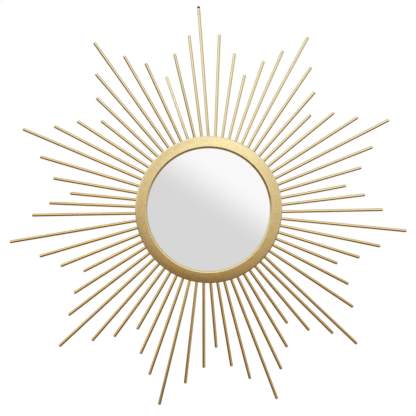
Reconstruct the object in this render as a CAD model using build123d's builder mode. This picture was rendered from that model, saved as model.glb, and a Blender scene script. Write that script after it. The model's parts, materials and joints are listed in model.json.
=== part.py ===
from build123d import *
import os
from math import cos, hypot, radians, sin

# Sunburst wall mirror: a round looking glass in a gold ring, with straight metal rods (rays)
# fanning out behind it from a drilled hoop.
#
# Millimetres, +Z up, the front faces -Y. The origin is on the mirror's axis at the wall, in the
# middle of the hoop's rear rim. A "depth" is a distance from the wall, so y = -depth.
# Ray angles turn counter-clockwise from +X, as seen from the front.

# ---- depths from the wall ----
hoop_depth = 14.0  # the rear hoop's whole depth; the front ring sits on its front rim
glass_thickness = 3.0
pad_thickness = 1.0
board_thickness = 4.0
glass_back = hoop_depth - glass_thickness
board_front = glass_back - pad_thickness
board_back = board_front - board_thickness
ray_depth = 9.0  # the rods' axes

# ---- front ring, a crowned section that slopes back towards its outer edge ----
ring_inner_radius = 103.6
ring_outer_radius = 124.5
lip_round = 3.6  # quarter round at the inner edge
lip_wall = 0.6  # short straight wall under the quarter round
crest_radius = ring_inner_radius + lip_round
crest_depth = hoop_depth + lip_wall + lip_round
edge_round = 1.4  # rounding of the outer edge
edge_wall = 0.9
face_end_radius = ring_outer_radius - edge_round
face_end_depth = hoop_depth + edge_wall + edge_round
face_crown = 0.35  # how far the face stands proud of a straight slope

# ---- glass and board ----
glass_radius = 111.5
board_radius = 112.0
glass_arris = 0.3
pad_length = 30.0
pad_width = 14.0
pad_corner = 2.0
pad_circle = 72.0
pad_count = 6

# ---- rear hoop ----
hoop_inner_radius = 113.0
hoop_outer_radius = 116.0
hoop_middle_radius = (hoop_inner_radius + hoop_outer_radius) / 2
hoop_arris = 0.4

# ---- rays ----
group_count = 11
rays_per_group = 6
ray_count = group_count * rays_per_group
ray_pitch = 360 / ray_count
ray_radius = 2.5
ray_hole_radius = 2.55
tip_round = 1.1
long_reach = 342.0  # distance of a tip from the mirror's axis
second_reach = 298.0
third_reach = 269.0
short_reach = 237.0
reaches = [long_reach, second_reach, third_reach, short_reach, third_reach, second_reach]
first_direction = 92.6  # direction of ray 0, the topmost long one
ray_lean = 2.0  # every ray points this far past the radius through its hole
jig_drift_up = 0.7  # the holes were marked out from a centre a little off the hoop's own
jig_drift_aside = 0.25
ray_start_gap = 0.3  # the inner ends stop short of the hoop's inner wall

# Rays that were set by hand and stand off their even spacing: sideways drift of the tip.
tip_drift = {
    0: 7, 1: -3, 12: -4, 14: 3, 16: -6, 17: -14, 18: -5, 23: -2, 24: -3, 26: -2,
    31: 6, 32: 8, 33: 5, 34: 4, 35: 4, 36: 8, 37: 3, 38: 2, 40: -2, 41: -3, 42: -20, 43: -3,
    46: -2, 47: -2, 49: 4, 50: 4, 56: 3, 57: 2, 59: 4, 60: 6, 61: 3, 65: 2,
}
# Rays that were cut a little long or short.
length_trim = {
    0: 4, 2: 2, 4: 2, 6: 2, 7: 2, 12: 2, 13: 2, 16: 2, 17: 2, 24: 2, 28: 2, 33: -2, 35: -2,
    39: -2, 40: -2, 42: -2, 43: -2, 48: -4, 49: -2, 50: -2, 60: -4,
}

bead_base_radius = 4.5
bead_top_radius = 2.8
bead_start = 1.0  # along the ray from its inner end
bead_end = 4.9
drill_length = 2 * bead_end  # long enough to go right through the hoop's wall or a bead

# ---- retaining tabs ----
tab_count = 6
tab_thickness = 0.8
tab_reach = 13.0  # how far a tab's lip comes in over the board
tab_height = 5.0  # height of the leg on the hoop's wall
tab_arc = 6.0  # degrees of the hoop that a tab covers
tab_bend = 1.2
tab_corner = 1.8  # rounding of the two corners over the board

# ---- wall hanger ----
hinge_height = 92.0
hinge_depth = 3.4
wire_radius = 1.2
loop_clearance = 0.08
strap_thickness = 1.0
strap_width = 10.0
strap_length = 38.0
strap_corner = 3.0
strap_joggle = 4.0  # length of the slope from the flat strap to its loop
strap_face = board_back - strap_thickness
loop_inner_radius = wire_radius + loop_clearance
loop_outer_radius = loop_inner_radius + strap_thickness
seam_start = -120.0  # the loop's open seam, between the strap and its free end
seam_end = -88.0
seam_reach = 2.4
ring_half_width = 9.0  # of the wire's centre line
ring_corner = 2.6
ring_leg = 4.0
screw_offsets = [20.0, 31.0]  # below the hinge
screw_head_radius = 3.0
screw_head_height = 1.6
screw_head_round = 0.9
screw_shank_radius = 1.6
screw_bite = 3.5  # depth of thread in the board
screw_hole_radius = 1.9
recess_length = 3.2
recess_width = 0.7
recess_depth = 0.7

front_view = Plane.XZ  # local x is X, local y is Z and local z is depth


def at_depth(depth):
    """The front-view plane at a depth."""
    return front_view.offset(depth)


def finish_node(part, name):
    """Label a finished piece and write it."""
    part.label = name
    export_step(part, f"parts/{name}.step")


def ray_reach(index):
    """Distance of a ray's tip from the mirror's axis."""
    return reaches[index % rays_per_group] + length_trim.get(index, 0)


def ray_plane(index):
    """Plane across a ray at its inner end, with its normal along the ray."""
    direction = first_direction + index * ray_pitch
    jig_shift = jig_drift_aside * cos(radians(direction)) - jig_drift_up * sin(radians(direction))
    hole_angle = radians(direction - ray_lean + jig_shift)
    free_length = ray_reach(index) - hoop_middle_radius
    heading = radians(direction) + tip_drift.get(index, 0) / free_length
    along = Vector(cos(heading), 0, sin(heading))
    hole = Vector(hoop_middle_radius * cos(hole_angle), -ray_depth, hoop_middle_radius * sin(hole_angle))
    inset = hoop_middle_radius - hoop_inner_radius - ray_start_gap
    return Plane(origin=hole - along * inset, z_dir=along)


def ray_length(index):
    """Length of a ray from its inner end to its tip."""
    return ray_reach(index) - hoop_inner_radius - ray_start_gap


def distance_from_axis(edge):
    """Distance of an edge's centre from the mirror's axis."""
    centre = edge.center()
    return hypot(centre.X, centre.Z)


os.makedirs("parts", exist_ok=True)

# ---- front ring ----
with BuildPart() as front_ring:
    with BuildSketch(Plane.XY):
        with BuildLine():
            wall = Line((ring_inner_radius, -hoop_depth), (ring_inner_radius, -hoop_depth - lip_wall))
            lip = RadiusArc(wall @ 1, (crest_radius, -crest_depth), -lip_round)
            face = SagittaArc(lip @ 1, (face_end_radius, -face_end_depth), -face_crown)
            rim = RadiusArc(face @ 1, (ring_outer_radius, -hoop_depth - edge_wall), -edge_round)
            Polyline(rim @ 1, (ring_outer_radius, -hoop_depth), wall @ 0)
        make_face()
    revolve(axis=Axis.Y)
finish_node(front_ring.part, "front_ring")

# ---- looking glass ----
with BuildPart() as mirror_glass:
    with BuildSketch(at_depth(glass_back)):
        Circle(glass_radius)
    extrude(amount=glass_thickness)
    chamfer(mirror_glass.edges(), glass_arris)
finish_node(mirror_glass.part, "mirror_glass")

# ---- foam pads between glass and board ----
with BuildPart() as foam_pads:
    with BuildSketch(at_depth(board_front)):
        with PolarLocations(pad_circle, pad_count):
            RectangleRounded(pad_length, pad_width, pad_corner)
        RectangleRounded(pad_length, pad_width, pad_corner)
    extrude(amount=pad_thickness)
finish_node(foam_pads.part, "foam_pads")

# ---- backing board, with pilot holes for the hanger's screws ----
screw_heights = [hinge_height - offset_below for offset_below in screw_offsets]
screw_points = [(0, height) for height in screw_heights]

with BuildPart() as backing_board:
    with BuildSketch(at_depth(board_back)):
        Circle(board_radius)
    extrude(amount=board_thickness)
    with BuildSketch(at_depth(board_back)):
        with Locations(screw_points):
            Circle(screw_shank_radius)
    extrude(amount=screw_bite, mode=Mode.SUBTRACT)
finish_node(backing_board.part, "backing_board")

# ---- rear hoop, drilled once for each ray ----
ray_planes = [ray_plane(index) for index in range(ray_count)]

with BuildPart() as rear_hoop:
    with BuildSketch(at_depth(0)):
        Circle(hoop_outer_radius)
        Circle(hoop_inner_radius, mode=Mode.SUBTRACT)
    extrude(amount=hoop_depth)
    chamfer(rear_hoop.faces().sort_by(Axis.Y)[-1].edges(), hoop_arris)
    with Locations(ray_planes):
        Cylinder(ray_hole_radius, drill_length, mode=Mode.SUBTRACT)
finish_node(rear_hoop.part, "rear_hoop")


# ---- rays ----
def make_rays(name, indices):
    """One node with the rays at these places round the hoop."""
    with BuildPart() as rays:
        for index in indices:
            with BuildSketch(ray_plane(index)):
                Circle(ray_radius)
            extrude(amount=ray_length(index))
        rims = rays.edges().filter_by(GeomType.CIRCLE).sort_by(distance_from_axis)
        fillet(rims[-len(indices):], tip_round)
    finish_node(rays.part, name)


for group in range(group_count):
    number = f"{group + 1:02d}"
    long_index = group * rays_per_group
    make_rays(f"ray_long_{number}", [long_index])
    make_rays(f"ray_pair_second_{number}", [(long_index - 1) % ray_count, long_index + 1])
    make_rays(f"ray_pair_third_{number}", [(long_index - 2) % ray_count, long_index + 2])
    make_rays(f"ray_short_{number}", [long_index + rays_per_group // 2])

# ---- weld bead round each ray, on the hoop's outer wall ----
bead_height = bead_end - bead_start
bead_planes = [plane.offset(bead_start) for plane in ray_planes]
upright = (Align.CENTER, Align.CENTER, Align.MIN)

with BuildPart() as weld_beads:
    with Locations(bead_planes):
        Cone(bead_base_radius, bead_top_radius, bead_height, align=upright)
    with Locations(ray_planes):
        Cylinder(ray_radius, drill_length, align=upright, mode=Mode.SUBTRACT)
    with BuildSketch(at_depth(0)):
        Circle(hoop_outer_radius)
    extrude(amount=hoop_depth, mode=Mode.SUBTRACT)
finish_node(weld_beads.part, "weld_beads")

# ---- retaining tabs: an L on the hoop's inner wall, bent in over the board ----
tab_leg_radius = hoop_inner_radius - tab_thickness / 2
tab_lip_depth = board_back - tab_thickness / 2
tab_start_depth = board_back - tab_height
tab_end_radius = hoop_inner_radius - tab_reach


def is_lip_corner(edge):
    """True for an edge at the free end of a tab's lip."""
    return hypot(edge.center().X, edge.center().Z) < tab_end_radius + tab_thickness


with BuildPart() as retaining_tabs:
    for tab in range(tab_count):
        turn = tab * 360 / tab_count + tab_arc / 2
        with BuildSketch(Plane.XY.rotated((0, turn, 0))):
            with BuildLine():
                FilletPolyline(
                    (tab_leg_radius, -tab_start_depth),
                    (tab_leg_radius, -tab_lip_depth),
                    (tab_end_radius, -tab_lip_depth),
                    radius=tab_bend,
                )
            trace(line_width=tab_thickness)
        revolve(axis=Axis.Y, revolution_arc=tab_arc)
    lip_ends = retaining_tabs.edges().filter_by(Axis.Y).filter_by(is_lip_corner)
    fillet(lip_ends, radius=tab_corner)
finish_node(retaining_tabs.part, "retaining_tabs")

# ---- hanger strap: flat plate, slight joggle, rolled loop ----
loop_centre = (-hinge_depth, hinge_height)
strap_top = hinge_height - strap_joggle
strap_bottom = hinge_height - strap_length

with BuildPart() as hanger_strap:
    with BuildSketch(Plane.YZ):
        with Locations(loop_centre):
            Circle(loop_outer_radius)
        with BuildLine():
            Polyline(
                (-board_back, strap_bottom),
                (-board_back, strap_top),
                (-hinge_depth - loop_outer_radius, hinge_height),
                (-hinge_depth - loop_inner_radius, hinge_height),
                (-strap_face, strap_top),
                (-strap_face, strap_bottom),
                close=True,
            )
        make_face()
        with Locations(loop_centre):
            Circle(loop_inner_radius, mode=Mode.SUBTRACT)
        with BuildLine():
            seam_a = PolarLine(loop_centre, seam_reach, seam_start)
            seam_b = PolarLine(loop_centre, seam_reach, seam_end)
            Line(seam_a @ 1, seam_b @ 1)
        make_face(mode=Mode.SUBTRACT)
    extrude(amount=strap_width / 2, both=True)
    fillet(hanger_strap.edges().filter_by(Axis.Y).group_by(Axis.Z)[0], strap_corner)
    with BuildSketch(at_depth(strap_face)):
        with Locations(screw_points):
            Circle(screw_hole_radius)
    extrude(amount=strap_thickness, mode=Mode.SUBTRACT)
finish_node(hanger_strap.part, "hanger_strap")

# ---- hanger screws ----
with BuildPart() as hanger_screws:
    with BuildSketch(at_depth(strap_face - screw_head_height)):
        with Locations(screw_points):
            Circle(screw_head_radius)
    extrude(amount=screw_head_height)
    crowns = hanger_screws.edges().filter_by(GeomType.CIRCLE).group_by(Axis.Y)[-1]
    fillet(crowns, screw_head_round)
    with BuildSketch(at_depth(strap_face)):
        with Locations(screw_points):
            Circle(screw_shank_radius)
    extrude(amount=strap_thickness + screw_bite)
    with BuildSketch(at_depth(strap_face - screw_head_height)):
        with Locations(screw_points):
            Rectangle(recess_length, recess_width)
            Rectangle(recess_width, recess_length)
    extrude(amount=recess_depth, mode=Mode.SUBTRACT)
finish_node(hanger_screws.part, "hanger_screws")

# ---- hanger ring: a wire D whose straight bar turns in the strap's loop ----
bar_half = ring_half_width - ring_corner
bow_drop = ring_leg + ring_half_width
bar_end = (bar_half, 0)
bar_start = (-bar_half, 0)
hinge_point = (0, -hinge_depth, hinge_height)
ring_plane = Plane(origin=hinge_point, x_dir=front_view.x_dir, z_dir=front_view.z_dir)

with BuildPart() as hanger_ring:
    with BuildLine(ring_plane) as ring_path:
        bar = Line(bar_start, bar_end)
        RadiusArc(bar_end, (ring_half_width, -ring_corner), ring_corner)
        Line((ring_half_width, -ring_corner), (ring_half_width, -ring_leg))
        ThreePointArc((ring_half_width, -ring_leg), (0, -bow_drop), (-ring_half_width, -ring_leg))
        Line((-ring_half_width, -ring_leg), (-ring_half_width, -ring_corner))
        RadiusArc((-ring_half_width, -ring_corner), bar_start, ring_corner)
    with BuildSketch(Plane(origin=bar @ 0, z_dir=bar % 0)):
        Circle(wire_radius)
    sweep(path=ring_path.wire())
finish_node(hanger_ring.part, "hanger_ring")
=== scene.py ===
import json
import math
import random

import bmesh
import bpy
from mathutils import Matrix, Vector


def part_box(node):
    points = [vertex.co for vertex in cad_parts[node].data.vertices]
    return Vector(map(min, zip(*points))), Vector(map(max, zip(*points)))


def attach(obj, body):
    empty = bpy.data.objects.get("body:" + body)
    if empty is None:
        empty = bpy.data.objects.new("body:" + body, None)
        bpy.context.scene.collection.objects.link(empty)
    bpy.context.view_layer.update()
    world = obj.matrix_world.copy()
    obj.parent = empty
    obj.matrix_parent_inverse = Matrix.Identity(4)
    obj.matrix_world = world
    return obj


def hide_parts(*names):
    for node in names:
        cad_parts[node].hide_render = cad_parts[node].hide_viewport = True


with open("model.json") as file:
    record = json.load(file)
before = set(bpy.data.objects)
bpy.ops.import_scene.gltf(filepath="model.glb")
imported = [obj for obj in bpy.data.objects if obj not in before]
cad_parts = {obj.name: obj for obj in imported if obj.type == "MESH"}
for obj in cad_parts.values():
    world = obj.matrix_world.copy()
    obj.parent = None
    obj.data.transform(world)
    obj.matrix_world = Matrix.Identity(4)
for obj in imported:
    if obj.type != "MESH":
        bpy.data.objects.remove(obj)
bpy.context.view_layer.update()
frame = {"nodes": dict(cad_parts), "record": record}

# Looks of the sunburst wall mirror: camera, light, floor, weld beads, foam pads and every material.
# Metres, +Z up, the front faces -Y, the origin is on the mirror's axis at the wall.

nodes = frame["nodes"]
MM = 0.001

# ---- places read from the frame ----
ray_low, ray_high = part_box("ray_long_01")
ray_plane_y = (ray_low.y + ray_high.y) / 2
ray_radius = (ray_high.y - ray_low.y) / 2
ring_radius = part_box("front_ring")[1].x
ring_opening = min(math.hypot(v.co.x, v.co.z) for v in nodes["front_ring"].data.vertices)
glass_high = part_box("mirror_glass")[1]
board_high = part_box("backing_board")[1]
hoop_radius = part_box("rear_hoop")[1].x
strap_low, strap_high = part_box("hanger_strap")
wire_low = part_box("hanger_ring")[0]

# ---- camera: level and square to the glass ----
FIELD_WIDTH = 707.2 * MM  # width seen at the rays' depth
CAMERA_DISTANCE = 1.5
CAMERA_LEFT = 1.1 * MM
CAMERA_RAISE = 2.7 * MM
SENSOR = 36.0
SIGHT_END = 50


def make_camera():
    """The photographer's view, with no tilt, shift or depth of field."""
    data = bpy.data.cameras.new("camera")
    data.sensor_width = SENSOR
    data.lens = SENSOR * CAMERA_DISTANCE / FIELD_WIDTH
    data.clip_end = SIGHT_END
    camera = bpy.data.objects.new("camera", data)
    camera.location = (-CAMERA_LEFT, ray_plane_y - CAMERA_DISTANCE, CAMERA_RAISE)
    camera.rotation_euler = (math.radians(90), 0, 0)
    bpy.context.scene.collection.objects.link(camera)
    bpy.context.scene.camera = camera


# ---- a short way to write node trees ----
class Tree:
    """Adds nodes to a material's or the world's tree. A value that is a socket gets linked."""

    def __init__(self, tree):
        self.tree = tree
        tree.nodes.clear()

    def put(self, socket, value):
        if isinstance(value, bpy.types.NodeSocket):
            self.tree.links.new(value, socket)
        else:
            socket.default_value = value

    def node(self, kind, **inputs):
        made = self.tree.nodes.new(kind)
        for name, value in inputs.items():
            self.put(made.inputs[name.replace("_", " ")], value)
        return made

    def math(self, operation, *values):
        made = self.tree.nodes.new("ShaderNodeMath")
        made.operation = operation
        for socket, value in zip(made.inputs, values):
            self.put(socket, value)
        return made.outputs[0]

    def plus(self, first, second):
        return self.math("ADD", first, second)

    def minus(self, first, second):
        return self.math("SUBTRACT", first, second)

    def times(self, first, second):
        return self.math("MULTIPLY", first, second)

    def larger(self, first, second):
        return self.math("MAXIMUM", first, second)

    def absolute(self, value):
        return self.math("ABSOLUTE", value)

    def length(self, first, second):
        """Length of a flat vector."""
        return self.math("SQRT", self.plus(self.times(first, first), self.times(second, second)))

    def weigh(self, *terms, base=0.0):
        """base, plus each value times its weight, from pairs of (value, weight)."""
        total = base
        for value, weight in terms:
            total = self.math("MULTIPLY_ADD", value, weight, total)
        return total

    def step(self, value, low, high, start=0.0, end=1.0):
        """Smooth step: start below low, end above high."""
        made = self.tree.nodes.new("ShaderNodeMapRange")
        made.interpolation_type = "SMOOTHSTEP"
        for socket, number in zip(made.inputs, (value, low, high, start, end)):
            self.put(socket, number)
        return made.outputs[0]

    def fall(self, value, low, high, start=1.0):
        """Smooth step down to 0."""
        return self.step(value, low, high, start, 0.0)

    def band(self, value, rise, fall):
        """1 between two soft edges, each a (low, high), and 0 outside them."""
        return self.times(self.step(value, *rise), self.fall(value, *fall))

    def mix(self, factor, first, second):
        made = self.tree.nodes.new("ShaderNodeMix")
        made.data_type = "RGBA"
        self.put(made.inputs[0], factor)
        self.put(made.inputs[6], first)
        self.put(made.inputs[7], second)
        return made.outputs[2]

    def ramp(self, factor, stops):
        """A colour for each factor, from a list of (factor, colour)."""
        made = self.node("ShaderNodeValToRGB", Fac=factor)
        elements = made.color_ramp.elements
        for (place, colour), element in zip(stops, elements):
            element.position = place
            element.color = colour
        for place, colour in stops[len(elements):]:
            elements.new(place).color = colour
        return made.outputs[0]

    def join(self, x, y, z=0.0):
        return self.node("ShaderNodeCombineXYZ", X=x, Y=y, Z=z).outputs[0]

    def split(self, vector):
        return self.node("ShaderNodeSeparateXYZ", Vector=vector).outputs

    def dot(self, vector, direction):
        made = self.tree.nodes.new("ShaderNodeVectorMath")
        made.operation = "DOT_PRODUCT"
        self.put(made.inputs[0], vector)
        self.put(made.inputs[1], direction)
        return made.outputs["Value"]

    def noise(self, vector, scale=1.0, detail=3.0, roughness=0.6):
        values = {"Vector": vector, "Scale": scale, "Detail": detail, "Roughness": roughness}
        return self.node("ShaderNodeTexNoise", **values).outputs["Fac"]

    def place(self):
        """A point on the piece in the row frame, in metres: every object here sits at the origin."""
        return self.node("ShaderNodeTexCoord").outputs["Object"]

    def polar(self):
        """(distance from the mirror's axis, angle round it in radians, y) of a point."""
        x, y, z = self.split(self.place())
        return self.length(x, z), self.math("ARCTAN2", z, x), y

    def bump(self, height, distance, strength):
        made = self.node("ShaderNodeBump", Height=height, Distance=distance, Strength=strength)
        return made.outputs[0]


def new_material(name):
    """A material with an empty tree."""
    made = bpy.data.materials.new(name)
    made.use_nodes = True
    return made, Tree(made.node_tree)


def surface(tree, **inputs):
    """The Principled shader, joined to the material's output."""
    shader = tree.node("ShaderNodeBsdfPrincipled", **inputs)
    tree.node("ShaderNodeOutputMaterial", Surface=shader.outputs[0])


# ---- gold ----
# The scales of patterns, here and below, are per metre, or per radian round the mirror.
GOLD = (1.0, 0.81, 0.43, 1)
GOLD_DEEP = (0.90, 0.70, 0.34, 1)
GOLD_PALE = (1.0, 0.95, 0.74, 1)
# painted sheen: a duller, less saturated gold on the inner lip, in place of the lacquer's white
# reflection
LIP_SHEEN = (0.76, 0.64, 0.385, 1)
BRUSH_ACROSS = 1400  # turning marks of the ring
BRUSH_ROUND = 9
GLINTS_ACROSS = 60
GLINTS_ROUND = 22
RIM_HIGHLIGHT_IN = (2.6 * MM, 0.8 * MM)  # painted highlight, in from the ring's outer edge: where it starts and is full
RIM_HIGHLIGHT_MOST = 0.55
LIP_SHEEN_OUT = (1.5 * MM, 4 * MM)  # out from the opening: where the lip's painted sheen is full and has gone
LIP_SHEEN_MOST = 0.8
RUB_ANGLE = math.radians(140.5)  # a pale rub mark on the ring's face
RUB_RADII = (107 * MM, 118.5 * MM)
RUB_FADE = 3 * MM
RUB_HALF_WIDTH = 1.8 * MM


def gold_ring():
    """Satin gold with fine speckle, painted sheen on the inner lip, a painted highlight on the outer
    edge, and a rub mark.
    """
    made, t = new_material("gold_ring")
    radius, angle, y = t.polar()
    around = t.join(t.times(radius, BRUSH_ACROSS), t.times(angle, BRUSH_ROUND), t.times(y, BRUSH_ACROSS))
    brush = t.noise(around)
    glints = t.noise(t.join(t.times(angle, GLINTS_ROUND), t.times(radius, GLINTS_ACROSS)))
    speckle = t.noise(t.place(), scale=420, detail=2.0)
    mottle = t.noise(t.place(), scale=160)
    tone = t.weigh((brush, 0.2), (mottle, 0.12), (speckle, 0.55), (glints, 0.13))
    colour = t.mix(t.step(tone, 0.43, 0.57), GOLD_DEEP, GOLD)
    # painted highlight: the rounded outer edge is mixed towards pale gold
    rim_highlight = t.step(radius, ring_radius - RIM_HIGHLIGHT_IN[0], ring_radius - RIM_HIGHLIGHT_IN[1], 0.0, RIM_HIGHLIGHT_MOST)
    colour = t.mix(rim_highlight, colour, GOLD_PALE)
    # painted sheen on the inner lip
    lip = t.fall(radius, ring_opening + LIP_SHEEN_OUT[0], ring_opening + LIP_SHEEN_OUT[1], LIP_SHEEN_MOST)
    colour = t.mix(lip, colour, LIP_SHEEN)
    sideways = t.times(t.absolute(t.minus(angle, RUB_ANGLE)), radius)
    inner, outer = RUB_RADII
    rub = t.band(radius, (inner, inner + RUB_FADE), (outer - RUB_FADE, outer))
    rub = t.times(rub, t.fall(sideways, 0.0, RUB_HALF_WIDTH))
    colour = t.mix(rub, colour, GOLD_PALE)
    height = t.weigh((brush, 0.3), (speckle, 0.7))
    surface(
        t, Base_Color=colour, Metallic=1.0, Roughness=t.weigh((mottle, 0.14), (rub, 0.25), base=0.22),
        Normal=t.bump(height, distance=0.08 * MM, strength=0.6),
    )
    return made


RAY_GOLD = (0.98, 0.75, 0.33, 1)
RAY_DEEP = (0.91, 0.645, 0.235, 1)
# the colour of the painted shade on the rods' lower parts
RAY_PAINTED_SHADE = (0.84, 0.55, 0.19, 1)
RAY_EDGE = (0.95, 0.70, 0.38, 1)  # the lacquer keeps its gold even at a glancing angle
# the colour of the painted highlight along one short rod
GLARE_PALE = (0.95, 0.94, 0.70, 1)
DARK_METAL = (0.02, 0.016, 0.012, 1)
LINES_ROUND = 9.0  # drawing lines of a bar: how closely they lie, and how soon they fade along it
LINES_ALONG = 45.0
PAINTED_LIGHT_HEIGHTS = (-0.12, 0.22)  # painted light: the rods are paler towards the top
PAINTED_LIGHT_RIGHT = 0.4  # and a little towards the right
PAINTED_LIGHT_MOST = 0.38
PAINTED_SHADE_HEIGHTS = (-0.18, -0.04)  # painted shade: the rods are deeper towards the bottom
PAINTED_SHADE_RIGHT = 0.2
PAINTED_SHADE_MOST = 0.65
GLARE_ROD_ANGLE = math.radians(107.65)  # painted highlight: one short rod is painted almost white, most of all at its tip
GLARE_ROD_HALF = math.radians(2.2)
GLARE_ROD_CORE = 0.9 * GLARE_ROD_HALF
GLARE_MOST = 0.5
GLARE_AT_RING = 0.5  # of that much, rising to all of it over the reach
GLARE_REACH = 60 * MM
DARK_TIP = 3.2 * MM  # the topmost rod's tip is near black, and a fainter dark band crosses it lower down
DARK_TIP_FADE = 0.6 * MM
DARK_BAND = 13.6 * MM
DARK_BAND_HALF_WIDTH = 0.9 * MM
DARK_BAND_CORE = 0.3 * MM
DARK_BAND_MOST = 0.45
RAGGED = 5 * MM  # how far the edges of both marks wander


def ray_gold_and_light(t, lines, mottle, x, z):
    """The rods' gold: streaked, with painted light making it paler towards the top and painted shade
    making it deeper towards the bottom.
    """
    tone = t.weigh((lines, 0.5), (mottle, 0.5))
    colour = t.mix(t.step(tone, 0.3, 0.7), RAY_DEEP, RAY_GOLD)
    # painted light: paler towards the top, and a little towards the right
    painted_light = t.step(t.plus(z, t.times(x, PAINTED_LIGHT_RIGHT)), *PAINTED_LIGHT_HEIGHTS, 0.0, PAINTED_LIGHT_MOST)
    colour = t.mix(painted_light, colour, GOLD_PALE)
    # painted shade: deeper towards the bottom
    painted_shade = t.fall(t.minus(z, t.times(x, PAINTED_SHADE_RIGHT)), *PAINTED_SHADE_HEIGHTS, PAINTED_SHADE_MOST)
    return t.mix(painted_shade, colour, RAY_PAINTED_SHADE)


def glare_rod(t, radius, angle):
    """How much painted highlight a point has: 0 but on one rod."""
    aside = t.absolute(t.minus(angle, GLARE_ROD_ANGLE))
    on_rod = t.fall(aside, GLARE_ROD_CORE, GLARE_ROD_HALF, GLARE_MOST)
    return t.times(on_rod, t.step(radius, ring_radius, ring_radius + GLARE_REACH, GLARE_AT_RING, 1.0))


def dark_marks(t, z, mottle):
    """How dark a point is: the topmost rod's tip, and a band below it."""
    below_tip = t.minus(ray_high.z, z)
    below_tip = t.plus(below_tip, t.times(t.minus(mottle, 0.5), RAGGED))
    tip_dark = t.fall(below_tip, DARK_TIP - DARK_TIP_FADE, DARK_TIP)
    band_dark = t.fall(t.absolute(t.minus(below_tip, DARK_BAND)), DARK_BAND_CORE, DARK_BAND_HALF_WIDTH, DARK_BAND_MOST)
    return t.larger(tip_dark, band_dark)


def gold_ray():
    """Satin gold bar with faint drawing lines along it, a painted highlight along one rod, and one dark
    tip.
    """
    made, t = new_material("gold_ray")
    x, y, z = t.split(t.place())
    radius, angle, y = t.polar()
    # the normal is the same all along one side of a straight bar, so noise over it runs in lines
    facing = t.split(t.node("ShaderNodeTexCoord").outputs["Normal"])
    along = t.join(
        t.weigh((facing[0], LINES_ROUND), (radius, LINES_ALONG)),
        t.times(facing[1], LINES_ROUND),
        t.times(facing[2], LINES_ROUND),
    )
    lines = t.noise(along)
    mottle = t.noise(t.place(), scale=220, detail=2.0)
    # painted highlight along one short rod
    wear_and_glare = glare_rod(t, radius, angle)
    dark = dark_marks(t, z, mottle)
    colour = ray_gold_and_light(t, lines, mottle, x, z)
    # painted highlight on one rod
    colour = t.mix(wear_and_glare, colour, GLARE_PALE)
    colour = t.mix(dark, colour, DARK_METAL)
    rough = t.weigh((mottle, 0.1), base=0.11)
    surface(
        t, Base_Color=colour, Metallic=t.minus(1.0, wear_and_glare), Roughness=t.larger(rough, dark),
        Specular_Tint=RAY_EDGE, Normal=t.bump(lines, distance=0.04 * MM, strength=0.5),
    )
    return made


# ---- glass ----
SILVER = (0.93, 0.93, 0.93, 1)
SILVER_HAZED = (0.915, 0.92, 0.915, 1)
GLASS_EDGE = (0.20, 0.33, 0.28, 1)
BACKING_PAINT = (0.16, 0.17, 0.18, 1)
GROUND_IN = (0.35 * MM, 0.25 * MM)  # in from the glass's edge: where the ground band starts and is full
PAINT_IN = (0.1 * MM, 0.05 * MM)  # in from its back


def looking_glass():
    """Silvered glass: a true mirror in front, grey backing paint behind, green-grey ground edge."""
    made, t = new_material("mirror")
    x, y, z = t.split(t.place())
    haze = t.noise(t.place(), scale=60, detail=4.0)
    ground = t.step(t.length(x, z), glass_high.x - GROUND_IN[0], glass_high.x - GROUND_IN[1])
    painted = t.step(y, glass_high.y - PAINT_IN[0], glass_high.y - PAINT_IN[1])
    colour = t.mix(t.step(haze, 0.5, 0.8), SILVER, SILVER_HAZED)
    colour = t.mix(ground, colour, GLASS_EDGE)
    colour = t.mix(painted, colour, BACKING_PAINT)
    dull = t.larger(ground, painted)
    surface(
        t, Base_Color=colour, Metallic=t.minus(1.0, dull),
        Roughness=t.times(dull, t.weigh((haze, 0.3), base=0.3)),
    )
    return made


# ---- the back ----
HOOP_LINES_ACROSS = 900
HOOP_LINES_DEEP = 1800
HOOP_LINES_ROUND = 12
HOOP_INSIDE = (2.6 * MM, 2.0 * MM)  # in from the hoop's outer face: duller beyond the first
HOOP_INSIDE_MOST = 0.45
HOOP_SEAM_ANGLE = math.radians(-104)  # where the hoop's strip was butt welded
HOOP_SEAM_HALF_WIDTH = 0.5 * MM
SEAM_DEPTH = 4.0  # of the seam's groove against the lines' height
HOOP_BROWN = (0.50, 0.36, 0.15, 1)
WELD_BROWN = (0.58, 0.40, 0.16, 1)
SOOT = (0.03, 0.025, 0.02, 1)


def gold_hoop():
    """Rolled strip, satin gold with lines round it, duller on the inside and dark in its one seam."""
    made, t = new_material("gold_hoop")
    radius, angle, y = t.polar()
    around = t.join(
        t.times(radius, HOOP_LINES_ACROSS), t.times(angle, HOOP_LINES_ROUND), t.times(y, HOOP_LINES_DEEP),
    )
    lines = t.noise(around)
    mottle = t.noise(t.place(), scale=130, detail=4.0)
    tone = t.weigh((lines, 0.45), (mottle, 0.55))
    colour = t.mix(t.step(tone, 0.35, 0.65), GOLD_DEEP, GOLD)
    inner, outer = HOOP_INSIDE
    inside = t.fall(radius, hoop_radius - inner, hoop_radius - outer, HOOP_INSIDE_MOST)
    colour = t.mix(inside, colour, HOOP_BROWN)
    sideways = t.times(t.absolute(t.minus(angle, HOOP_SEAM_ANGLE)), radius)
    seam = t.fall(sideways, 0.0, HOOP_SEAM_HALF_WIDTH)
    colour = t.mix(seam, colour, SOOT)
    rough = t.weigh((mottle, 0.22), base=0.24)
    height = t.minus(lines, t.times(seam, SEAM_DEPTH))
    surface(
        t, Base_Color=colour, Metallic=1.0, Roughness=t.larger(rough, seam),
        Normal=t.bump(height, distance=0.06 * MM, strength=0.7),
    )
    return made


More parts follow.
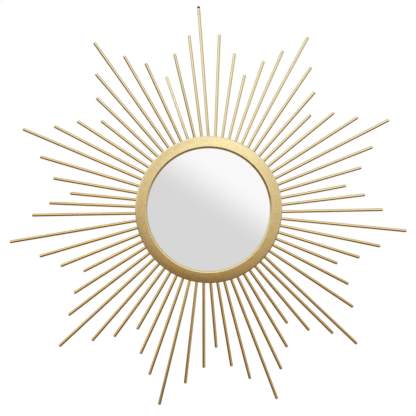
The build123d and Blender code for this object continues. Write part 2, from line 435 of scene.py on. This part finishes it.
def gold_weld():
    """Gold finish over a hand-made weld: blotchy, rougher, with dark pinholes."""
    made, t = new_material("gold_weld")
    blotch = t.noise(t.place(), scale=420, detail=4.0, roughness=0.65)
    pinholes = t.step(t.noise(t.place(), scale=2600), 0.66, 0.74)
    colour = t.mix(t.step(blotch, 0.35, 0.65), WELD_BROWN, GOLD)
    colour = t.mix(pinholes, colour, SOOT)
    surface(
        t, Base_Color=colour, Metallic=1.0, Roughness=t.weigh((blotch, 0.3), (pinholes, 0.3), base=0.26),
        Normal=t.bump(t.minus(blotch, pinholes), distance=0.2 * MM, strength=0.6),
    )
    return made


BOARD_DARK = (0.085, 0.042, 0.022, 1)
BOARD_LIGHT = (0.21, 0.115, 0.06, 1)
BOARD_CUT = (0.30, 0.20, 0.12, 1)
SCREEN_PITCH = 1.6 * MM  # the wire screen that hardboard is pressed on
SCREEN_MOST = 0.35
SCREEN_IN = (0.3 * MM, 0.1 * MM)  # in from the board's back
CUT_IN = (0.25 * MM, 0.1 * MM)  # in from its edge


def hardboard():
    """Hardboard: brown felted fibre, a back printed with a wire screen, and a paler cut edge."""
    made, t = new_material("board")
    x, y, z = t.split(t.place())
    fibre = t.noise(t.place(), scale=900, detail=6.0, roughness=0.75)
    cloud = t.noise(t.place(), scale=35, roughness=0.5)
    tone = t.weigh((fibre, 0.65), (cloud, 0.35))
    colour = t.mix(t.step(tone, 0.36, 0.66), BOARD_DARK, BOARD_LIGHT)
    wave = 2 * math.pi / SCREEN_PITCH
    screen = t.times(t.math("SINE", t.times(x, wave)), t.math("SINE", t.times(z, wave)))
    screen = t.times(screen, t.step(y, board_high.y - SCREEN_IN[0], board_high.y - SCREEN_IN[1]))
    colour = t.mix(t.step(screen, -0.2, 0.9, 0.0, SCREEN_MOST), colour, BOARD_DARK)
    cut = t.step(t.length(x, z), board_high.x - CUT_IN[0], board_high.x - CUT_IN[1])
    colour = t.mix(cut, colour, BOARD_CUT)
    height = t.weigh((screen, 0.7), (fibre, 0.6))
    surface(
        t, Base_Color=colour, Roughness=t.weigh((fibre, 0.35), base=0.45),
        Normal=t.bump(height, distance=0.25 * MM, strength=0.8),
    )
    return made


FOAM_WHITE = (0.80, 0.80, 0.77, 1)
FOAM_PORE = (0.55, 0.55, 0.52, 1)
PORES = 1300.0


def foam():
    """White closed-cell foam tape, with its pores showing."""
    made, t = new_material("foam")
    pores = t.node("ShaderNodeTexVoronoi", Vector=t.place(), Scale=PORES).outputs["Distance"]
    tint = t.noise(t.place(), scale=90, roughness=0.5)
    colour = t.mix(t.step(pores, 0.1, 0.5), FOAM_PORE, FOAM_WHITE)
    colour = t.mix(t.times(tint, 0.25), colour, FOAM_PORE)
    surface(
        t, Base_Color=colour, Roughness=t.weigh((tint, 0.1), base=0.82),
        Normal=t.bump(pores, distance=0.3 * MM, strength=0.7),
    )
    return made


ZINC_BRIGHT = (0.82, 0.84, 0.87, 1)
ZINC_DULL = (0.58, 0.60, 0.63, 1)
WIRE_WORN = (0.86, 0.86, 0.85, 1)
SPANGLE = 900.0
SCRATCH_ACROSS = 2200
SCRATCH_ALONG = 90
RUBBED_RISE = (strap_high.x - 0.7 * MM, strap_high.x - 0.2 * MM)  # the strap's rubbed long edges
RUBBED_FALL = (strap_high.x, strap_high.x + MM)
RUBBED_HEIGHT = (strap_low.z - 5 * MM, strap_low.z)
RUBBED_MOST = 0.7


def zinc_steel():
    """Zinc-plated sheet: small spangle, scratches along it, and edges rubbed bright."""
    made, t = new_material("zinc_steel")
    x, y, z = t.split(t.place())
    spangle = t.node("ShaderNodeTexVoronoi", Vector=t.place(), Scale=SPANGLE).outputs["Color"]
    spangle = t.split(spangle)[0]
    upward = t.join(t.times(x, SCRATCH_ACROSS), t.times(y, SCRATCH_ACROSS), t.times(z, SCRATCH_ALONG))
    scratch = t.noise(upward, detail=2.0, roughness=0.5)
    stain = t.noise(t.place(), scale=110, detail=4.0)
    tone = t.weigh((spangle, 0.15), (stain, 0.85))
    colour = t.mix(t.step(tone, 0.3, 0.65), ZINC_DULL, ZINC_BRIGHT)
    rubbed = t.band(t.absolute(x), RUBBED_RISE, RUBBED_FALL)
    rubbed = t.times(rubbed, t.step(z, *RUBBED_HEIGHT))
    colour = t.mix(t.times(rubbed, RUBBED_MOST), colour, WIRE_WORN)
    height = t.weigh((scratch, 0.7), (stain, 0.3))
    surface(
        t, Base_Color=colour, Metallic=1.0, Roughness=t.weigh((stain, 0.3), (spangle, 0.08), base=0.2),
        Normal=t.bump(height, distance=0.06 * MM, strength=0.7),
    )
    return made


WORN_BOW = (wire_low.z + 0.5 * MM, wire_low.z + 4.5 * MM)


def hanger_wire():
    """Plated wire, rubbed bright low on the bow, where it hangs."""
    made, t = new_material("hanger_wire")
    x, y, z = t.split(t.place())
    stain = t.noise(t.place(), scale=260, detail=4.0)
    lines = t.noise(t.place(), scale=2400, roughness=0.7)
    colour = t.mix(t.step(stain, 0.35, 0.65), ZINC_DULL, ZINC_BRIGHT)
    wear_and_glare = t.times(t.fall(z, *WORN_BOW), t.step(lines, 0.35, 0.6))
    colour = t.mix(wear_and_glare, colour, WIRE_WORN)
    surface(
        t, Base_Color=colour, Metallic=1.0, Roughness=t.weigh((stain, 0.3), (wear_and_glare, -0.12), base=0.18),
        Normal=t.bump(lines, distance=0.03 * MM, strength=0.6),
    )
    return made


PASSIVATED = ((0.0, (0.60, 0.50, 0.24, 1)), (0.5, (0.70, 0.60, 0.36, 1)), (1.0, (0.62, 0.45, 0.34, 1)))


def screw_steel():
    """Yellow-passivated screw heads with a faint change of tint and driver marks."""
    made, t = new_material("screw_steel")
    tint = t.noise(t.place(), scale=330)
    marks = t.noise(t.place(), scale=3000, roughness=0.7)
    colour = t.ramp(t.step(tint, 0.3, 0.7), PASSIVATED)
    colour = t.mix(t.step(marks, 0.6, 0.72, 0.0, 0.6), colour, ZINC_BRIGHT)
    surface(
        t, Base_Color=colour, Metallic=1.0, Roughness=t.weigh((marks, 0.25), base=0.2),
        Normal=t.bump(marks, distance=0.03 * MM, strength=0.5),
    )
    return made


# ---- meshes ----
SHARP_ANGLE = math.radians(50)


def middle(points):
    """The centre of the points' box."""
    low = Vector([min(p[axis] for p in points) for axis in range(3)])
    high = Vector([max(p[axis] for p in points) for axis in range(3)])
    return (low + high) / 2


def join_loops(mesh, loops, closed):
    """Quads between neighbouring loops of vertices; closed also joins the last loop to the first."""
    pairs = list(zip(loops, loops[1:]))
    if closed:
        pairs.append((loops[-1], loops[0]))
    for near, far in pairs:
        for index in range(len(near)):
            after = (index + 1) % len(near)
            mesh.faces.new((near[index], near[after], far[after], far[index]))


def finish_mesh(mesh, name, material):
    """An object made from a bmesh, smooth except at sharp edges."""
    bmesh.ops.recalc_face_normals(mesh, faces=mesh.faces)
    for edge in mesh.edges:
        edge.smooth = edge.calc_face_angle(0.0) < SHARP_ANGLE
    data = bpy.data.meshes.new(name)
    mesh.to_mesh(data)
    mesh.free()
    data.polygons.foreach_set("use_smooth", [True] * len(data.polygons))
    data.materials.append(material)
    made = bpy.data.objects.new(name, data)
    bpy.context.scene.collection.objects.link(made)
    return made


# ---- weld beads ----
# Half section of a bead: (distance out from the hoop's wall, distance from the rod's axis), in mm.
BEAD_SECTION = (
    (-1.0, 4.4), (0.0, 4.25), (0.45, 3.8), (0.9, 3.35),
    (1.45, 3.0), (2.0, 2.72), (2.15, 2.3), (-1.0, 2.3),
)
BEAD_SEGMENTS = 36
BEAD_RIPPLES = 11
RIPPLE_HEIGHT = 0.07
BEAD_LUMPS = (1, 2, 3)
LUMP_HEIGHT = 0.08
LUMP_LEAST = 0.3
SWELL_LIMIT = 1.12
BEAD_SEED = 11


def rod_axes(name):
    """(inner end, direction) of each rod in a ray node: one rod, or a pair that stands either side."""
    points = [v.co for v in nodes[name].data.vertices]
    outward = middle(points).normalized()
    across = Vector((-outward.z, 0, outward.x))
    sides = [points]
    if "pair" in name:
        sides = [[p for p in points if p.dot(across) < 0], [p for p in points if p.dot(across) >= 0]]
    axes = []
    for side in sides:
        inner = middle([p for p in side if math.hypot(p.x, p.z) < hoop_radius])
        tip = middle([p for p in side if math.hypot(p.x, p.z) > ring_radius])
        axes.append((inner, (tip - inner).normalized()))
    return axes


def add_bead(mesh, inner, direction, chance):
    """One lumpy, rippled fillet of weld round a rod, as a closed ring of faces."""
    base = inner + direction * (hoop_radius - math.hypot(inner.x, inner.z))
    side = Vector((0, 1, 0))
    up = direction.cross(side)
    waves = [(BEAD_RIPPLES, RIPPLE_HEIGHT)]
    waves += [(count, LUMP_HEIGHT * chance.uniform(LUMP_LEAST, 1.0)) for count in BEAD_LUMPS]
    waves = [(count, size, chance.uniform(0, 2 * math.pi)) for count, size in waves]
    rings = []
    for segment in range(BEAD_SEGMENTS):
        turn = 2 * math.pi * segment / BEAD_SEGMENTS
        swell = 1 + sum(size * math.cos(count * turn + start) for count, size, start in waves)
        outward = side * math.cos(turn) + up * math.sin(turn)
        ring = []
        for along, away in BEAD_SECTION:
            under = min(away * MM, ray_radius)
            proud = (away * MM - under) * min(swell, SWELL_LIMIT)
            reach = along * MM * (swell if along > 0 else 1)
            ring.append(mesh.verts.new(base + direction * reach + outward * (under + proud)))
        rings.append(ring)
    join_loops(mesh, rings, closed=True)


def make_beads(material):
    """All the beads, in place of the CAD's plain cones."""
    chance = random.Random(BEAD_SEED)
    mesh = bmesh.new()
    for name in sorted(nodes):
        if name.startswith("ray_"):
            for inner, direction in rod_axes(name):
                add_bead(mesh, inner, direction, chance)
    beads = finish_mesh(mesh, "hoop_welds", material)
    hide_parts("weld_beads")
    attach(beads, "mirror")


# ---- foam pads ----
PAD_INSET = 0.3 * MM  # the pads are squashed, so their sides bulge past their faces
PAD_CORNER = 2.0 * MM
PAD_CORNER_STEPS = 6
PAD_LAYERS = 7
SAME_POINT = 0.01 * MM


def islands(data):
    """The loose parts of a mesh, each as a list of points."""
    mesh = bmesh.new()
    mesh.from_mesh(data)
    bmesh.ops.remove_doubles(mesh, verts=mesh.verts, dist=SAME_POINT)
    waiting = set(mesh.verts)
    found = []
    while waiting:
        grown = [waiting.pop()]
        for vert in grown:
            for edge in vert.link_edges:
                other = edge.other_vert(vert)
                if other in waiting:
                    waiting.remove(other)
                    grown.append(other)
        found.append([vert.co.copy() for vert in grown])
    mesh.free()
    return sorted(found, key=lambda points: tuple(middle(points)))


def rounded_outline(half_length, half_width, corner):
    """Points round a rectangle with round corners."""
    points = []
    for quarter, (across, up) in enumerate(((1, 1), (-1, 1), (-1, -1), (1, -1))):
        for count in range(PAD_CORNER_STEPS + 1):
            turn = math.pi / 2 * (quarter + count / PAD_CORNER_STEPS)
            centre_x = across * (half_length - corner)
            centre_y = up * (half_width - corner)
            points.append((centre_x + corner * math.cos(turn), centre_y + corner * math.sin(turn)))
    return points


def add_pad(mesh, points):
    """One squashed pad in the place of a CAD pad: flat where it touches, bulging between."""
    centre = middle(points)
    along = Vector((centre.x, 0, centre.z))
    along = along.normalized() if along.length > MM else Vector((1, 0, 0))
    across = Vector((-along.z, 0, along.x))
    half_length = max((p - centre).dot(along) for p in points)
    half_width = max((p - centre).dot(across) for p in points)
    half_depth = max(p.y - centre.y for p in points)
    layers = []
    for count in range(PAD_LAYERS):
        rise = 2 * count / (PAD_LAYERS - 1) - 1
        inset = PAD_INSET * (1 - math.sqrt(1 - rise * rise))
        outline = rounded_outline(half_length - inset, half_width - inset, PAD_CORNER)
        level = centre + Vector((0, half_depth * rise, 0))
        layers.append([mesh.verts.new(level + along * a + across * b) for a, b in outline])
    join_loops(mesh, layers, closed=False)
    mesh.faces.new(layers[0])
    mesh.faces.new(layers[-1])


def make_pads(material):
    """The foam pads, in place of the CAD's flat ones."""
    mesh = bmesh.new()
    for points in islands(nodes["foam_pads"].data):
        add_pad(mesh, points)
    pads = finish_mesh(mesh, "foam_tape", material)
    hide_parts("foam_pads")
    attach(pads, "mirror")


# ---- floor and lamp ----
WHITE = (1, 1, 1, 1)
FLOOR_DROP = 1.35  # the mirror's axis above the floor
FLOOR_RADIUS = 3.3
FLOOR_SIDES = 128
FLOOR_COLOUR = (0.80, 0.79, 0.77, 1)
FLOOR_GLOW_RADII = (0.9, 3.2)  # painted glow: radii over which the floor starts to emit white light and turns as white as the air behind it
LIGHT_PLACE = Vector((-1.4, -1.8, 1.9))
LIGHT_SIZE = 1.6
LIGHT_POWER = 45


def make_floor():
    """A plain pale floor, hidden from reflections, which come from the studio round it; its outer part
    has a painted white glow.
    """
    made, t = new_material("floor")
    dust = t.noise(t.place(), scale=3.0, detail=5.0)
    shade = t.mix(t.step(dust, 0.3, 0.7, 0.0, 0.3), FLOOR_COLOUR, WHITE)
    x, y, z = t.split(t.place())
    painted_glow = t.step(t.length(x, y), *FLOOR_GLOW_RADII)
    # painted glow: the floor emits white light, more towards its rim
    surface(t, Base_Color=shade, Roughness=0.9, Emission_Color=WHITE, Emission_Strength=painted_glow)
    bpy.ops.mesh.primitive_circle_add(
        vertices=FLOOR_SIDES, radius=FLOOR_RADIUS, fill_type="NGON", location=(0, 0, -FLOOR_DROP),
    )
    floor = bpy.context.object
    floor.name = "floor"
    floor.data.materials.append(made)
    floor.visible_glossy = False


def make_light():
    """One large soft light, up on the left in front."""
    data = bpy.data.lights.new("softlight", "AREA")
    data.size = LIGHT_SIZE
    data.energy = LIGHT_POWER
    light = bpy.data.objects.new("softlight", data)
    light.location = LIGHT_PLACE
    light.rotation_euler = (-LIGHT_PLACE).to_track_quat("-Z", "Y").to_euler()
    light.visible_glossy = False
    light.visible_camera = False
    bpy.context.scene.collection.objects.link(light)


# ---- studio ----
# A direction is a unit vector, so x is how far right it points, z how far up, and "front" is -y.
# Each pair holds the two values between which one thing fades into the next.
FLOOR_WIDE = (0.14, 0.077, 0.03, 1)
SKY_FRONT = (0.90, 1.00, 1.12, 1)
SKY_LEFT = (0.93, 1.12, 1.33, 1)
SKY_SIDE = (0.50, 0.49, 0.45, 1)
SKY_RIGHT = (0.52, 0.58, 0.62, 1)
SKY_BEHIND = (0.38, 0.37, 0.33, 1)
LEFT = (-0.65, -0.35)
RIGHT = (0.3, 0.7)
SIDE = (-0.1, 0.6)
BEHIND = (-0.5, -0.1)
HORIZON = (-0.09, 0.09)
HORIZON_DIP = 0.4  # how steeply the horizon falls to the right
BACKDROP_HIGH = (1.0, 0.99, 0.96, 1)  # seen only in metal that faces the wall
BACKDROP_LOW = (0.50, 0.48, 0.44, 1)
BACKDROP_RISE = (-0.35, 0.25)
BACKDROP_FRONT = (-0.92, -0.72)
LAMP = (1.7, 1.7, 1.7, 1)
LAMP_AT = Vector((-0.45, -0.55, 0.70)).normalized()
LAMP_RIM = (0.985, 0.997)

DIFFUSER = (  # round the camera, from its foot, which mirrors a warm floor, to its lit top
    (0.0, (0.255, 0.185, 0.092, 1)),
    (0.25, (0.55, 0.465, 0.355, 1)),
    (0.5, (0.67, 0.60, 0.50, 1)),
    (0.75, (0.665, 0.595, 0.49, 1)),
    (0.9, (0.69, 0.61, 0.505, 1)),
    (1.0, (0.90, 0.90, 0.87, 1)),
)
DIFFUSER_RIM = (0.44, 0.54)
LIT_UP = 0.5  # how fast the diffuser brightens upwards, and to the right
LIT_RIGHT = 0.3
NEAR_AXIS = 0.02  # least distance off the axis, so that nothing is divided by zero
SOFTBOX = (1.30, 1.36, 1.38, 1)
SOFTBOX_AT = Vector((0.15, -0.91, 0.39)).normalized()
SOFTBOX_RIM = (0.97, 0.998)
STRIP = (1.24, 1.42, 1.70, 1)  # a short strip light just above the camera
STRIP_SIDES = ((-0.2, -0.13), (0.15, 0.24))
STRIP_HEIGHTS = ((0.08, 0.12), (0.24, 0.30))
GLOW = (0.34, 0.18, 0.055, 1)  # the floor just below the camera
GLOW_TOP = (-0.13, -0.05)
GLOW_RIM = (0.22, 0.30)

GLASS_FLOOR = (0.62, 0.615, 0.60, 1)
GLASS_ROOM = (0.97, 0.97, 0.96, 1)
GLASS_RISE = (-0.55, 0.05)
CARD_GREY = (0.73, 0.73, 0.73, 1)
CARD_WHITE = (1.015, 1.015, 1.015, 1)
CARD_RIGHT = 0.55  # how fast the card turns white to the right, and upwards
CARD_UP = 0.83
CARD_TURN = (-0.009, 0.045)
CARD_RIM = (0.078, 0.092)


def room_light(t, direction, x, z, front):
    """The room all round: a dark floor, a bright sky, a lamp, and a pale backdrop behind the wall."""
    sky = t.mix(t.fall(x, *LEFT), SKY_FRONT, SKY_LEFT)
    sky = t.mix(t.step(x, *RIGHT), sky, SKY_RIGHT)
    sky = t.mix(t.step(front, *SIDE), SKY_SIDE, sky)
    sky = t.mix(t.fall(front, *BEHIND), sky, SKY_BEHIND)
    sky = t.mix(t.step(t.dot(direction, LAMP_AT), *LAMP_RIM), sky, LAMP)
    above_horizon = t.plus(z, t.times(t.larger(x, 0.0), HORIZON_DIP))
    room = t.mix(t.step(above_horizon, *HORIZON), FLOOR_WIDE, sky)
    backdrop = t.mix(t.step(z, *BACKDROP_RISE), BACKDROP_LOW, BACKDROP_HIGH)
    return t.mix(t.fall(front, *BACKDROP_FRONT), room, backdrop)


def diffuser_light(t, direction, x, z, off_axis):
    """The diffuser, shaded by the direction round the camera, with a softbox, a strip and a glow."""
    height = t.math("DIVIDE", z, t.larger(off_axis, NEAR_AXIS))
    shade = t.weigh((height, LIT_UP), (x, LIT_RIGHT), base=0.5)
    diffuser = t.ramp(shade, DIFFUSER)
    diffuser = t.mix(t.step(t.dot(direction, SOFTBOX_AT), *SOFTBOX_RIM), diffuser, SOFTBOX)
    strip = t.times(t.band(x, *STRIP_SIDES), t.band(z, *STRIP_HEIGHTS))
    diffuser = t.mix(strip, diffuser, STRIP)
    glow = t.times(t.fall(z, *GLOW_TOP), t.fall(off_axis, *GLOW_RIM))
    return t.mix(glow, diffuser, GLOW)


def make_world():
    """Soft studio: bright above, dark below, a diffuser round the camera, and what the glass shows."""
    world = bpy.data.worlds.new("studio")
    bpy.context.scene.world = world
    world.use_nodes = True
    t = Tree(world.node_tree)
    direction = t.node("ShaderNodeTexCoord").outputs["Generated"]
    x, y, z = t.split(direction)
    front = t.times(y, -1.0)
    in_front = t.math("GREATER_THAN", front, 0.0)
    off_axis = t.length(x, z)
    room = room_light(t, direction, x, z, front)
    diffuser = diffuser_light(t, direction, x, z, off_axis)
    lit = t.mix(t.times(t.fall(off_axis, *DIFFUSER_RIM), in_front), room, diffuser)
    # the glass, the one perfectly sharp reflector, shows a pale floor and room instead
    pale_room = t.mix(t.step(z, *GLASS_RISE), GLASS_FLOOR, GLASS_ROOM)
    light_path = t.node("ShaderNodeLightPath").outputs
    lit = t.mix(light_path["Is Singular Ray"], lit, pale_room)
    # the card, which the flat glass shows from the front
    diagonal = t.weigh((x, CARD_RIGHT), (z, CARD_UP))
    card = t.mix(t.step(diagonal, *CARD_TURN), CARD_GREY, CARD_WHITE)
    lit = t.mix(t.times(t.fall(off_axis, *CARD_RIM), in_front), lit, card)
    colour = t.mix(light_path["Is Camera Ray"], lit, WHITE)
    background = t.node("ShaderNodeBackground", Color=colour)
    t.node("ShaderNodeOutputWorld", Surface=background.outputs[0])


# ---- build ----
make_camera()
make_world()
make_floor()
make_light()
bpy.context.scene.view_settings.view_transform = "Standard"

MATERIALS = {
    "gold_ring": gold_ring(),
    "gold_ray": gold_ray(),
    "mirror": looking_glass(),
    "gold_hoop": gold_hoop(),
    "gold_weld": gold_weld(),
    "foam": foam(),
    "board": hardboard(),
    "zinc_steel": zinc_steel(),
    "hanger_wire": hanger_wire(),
    "screw_steel": screw_steel(),
}
make_beads(MATERIALS["gold_weld"])
make_pads(MATERIALS["foam"])
for part in frame["record"]["subparts"]:
    for material_slot in nodes[part["node"]].material_slots:
        material_slot.material = MATERIALS[part["material_slot"]]
